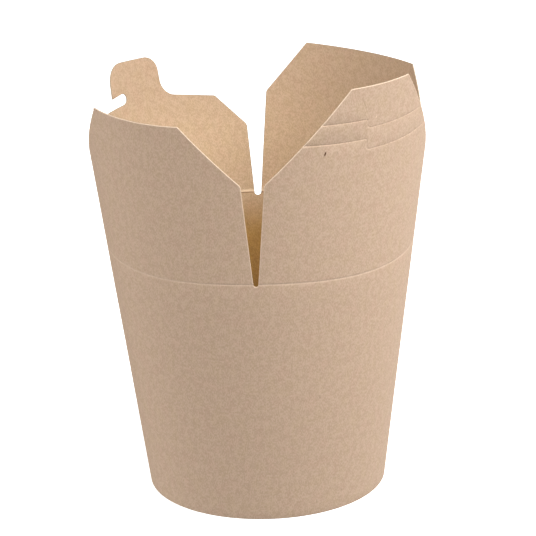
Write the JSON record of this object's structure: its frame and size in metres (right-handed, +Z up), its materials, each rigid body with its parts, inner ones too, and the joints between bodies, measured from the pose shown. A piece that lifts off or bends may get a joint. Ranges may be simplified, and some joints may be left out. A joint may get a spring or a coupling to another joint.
{
  "type": "noodle takeaway box",
  "caption": "Empty round-based kraft board noodle box, standing open: a conical side wall cut into locking top flaps over a curved crease, closed below by a recessed disc base.",
  "frame": {"origin": "on the axis of the cone, in the plane that the foot stands on", "axes": "+Z up along the cone's axis; -Y towards the front slit, with the scored lock flap on its +X side and the plain flap on its -X side; the locking tab stands at the back, on the -X side"},
  "size_m": [0.1275, 0.1293, 0.1724],
  "materials": {
    "kraft_board": "uncoated brown kraft face, matt, finely mottled with fibres; pale cream where it is cut",
    "kraft_lining": "warmer tan lining with a thin food-safe film, a little smoother than the outside"
  },
  "bodies": {
    "root": {"sidewall": "kraft_board", "base": "kraft_lining"}
  },
  "joints": []
}
